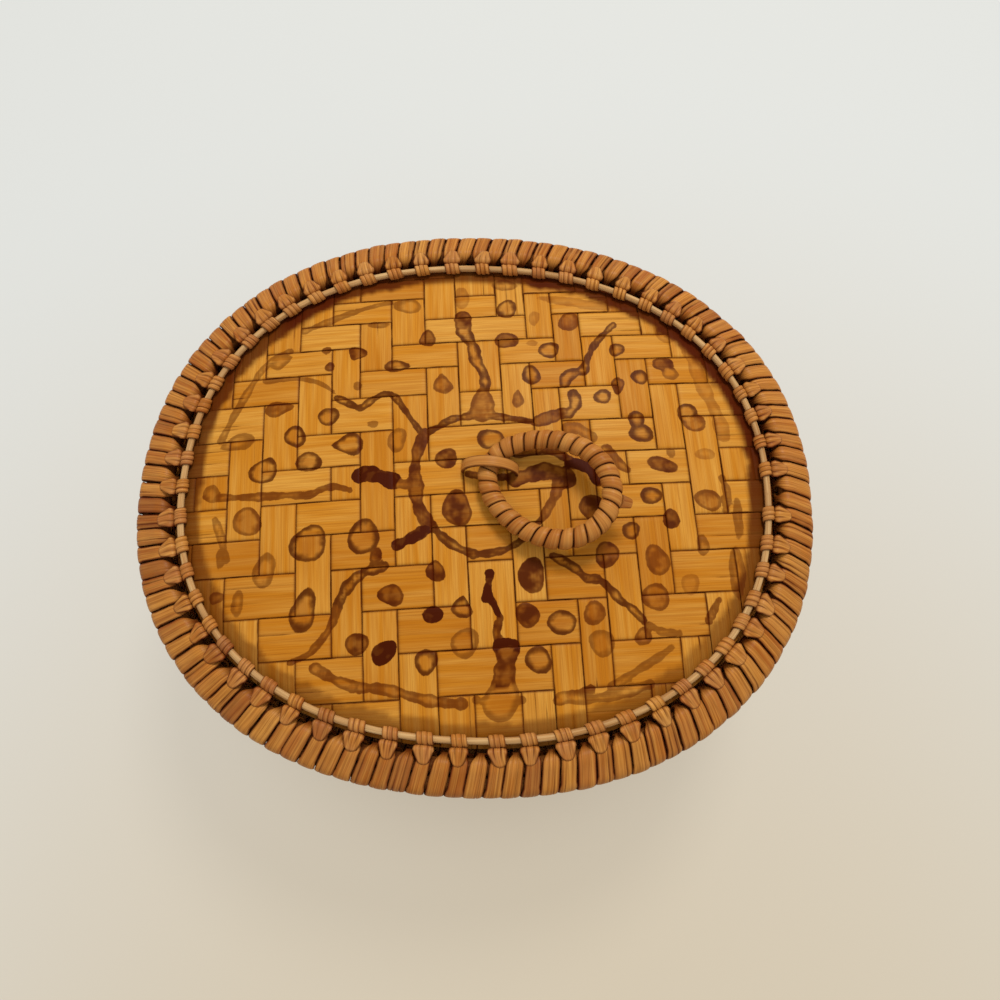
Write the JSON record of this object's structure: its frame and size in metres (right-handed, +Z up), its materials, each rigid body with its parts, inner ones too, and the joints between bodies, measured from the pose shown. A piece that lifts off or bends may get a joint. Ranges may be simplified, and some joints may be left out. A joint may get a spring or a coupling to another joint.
{
  "type": "lidded basket",
  "caption": "Oval lidded basket: woven bamboo lid panel in a bound cane rim, hinged cane ring handle, tapered woven body on a foot hoop.",
  "frame": {"origin": "middle of the basket's footprint, on the surface it stands on", "axes": "+Z up, X along the long way of the oval, Y across it; the handle lies towards +X"},
  "size_m": [0.2998, 0.2598, 0.1544],
  "materials": {
    "panel_splint": "varnished golden bamboo splint with brown scorch marks",
    "body_splint": "golden bamboo splint, satin",
    "binding_cane": "brown varnished rattan peel, satin",
    "handle_cane": "light brown rattan peel, satin",
    "core_cane": "rattan core, matt",
    "pale_rod": "pale rattan core, satin"
  },
  "bodies": {
    "body": {"body_shell": "body_splint", "body_hoop_inner": "core_cane", "body_hoop_outer": "core_cane", "body_binding": "binding_cane", "foot_hoop": "core_cane", "floor_brace_long": "body_splint", "floor_brace_short": "body_splint"},
    "lid": {"lid_panel": "panel_splint", "lid_hoop_outer": "core_cane", "lid_hoop_inner": "core_cane", "lid_rod": "pale_rod", "lid_binding_1": "binding_cane", "lid_binding_2": "binding_cane", "lid_binding_3": "binding_cane", "lid_binding_4": "binding_cane", "lid_binding_5": "binding_cane", "lid_collar": "panel_splint", "handle_strap": "handle_cane"},
    "handle": {"handle_core": "core_cane", "handle_winding": "handle_cane"}
  },
  "joints": [
    {"name": "lid_lift", "type": "slide", "parent": "body", "child": "lid", "axis": [0, 0, 1], "range_m": [0, 0.12]},
    {"name": "handle_swing", "type": "hinge", "parent": "lid", "child": "handle", "pos_m": [0.0065, 0.005, 0.14012], "axis": [-0.3746, -0.9272, 0], "range_deg": [0, 156]}
  ]
}
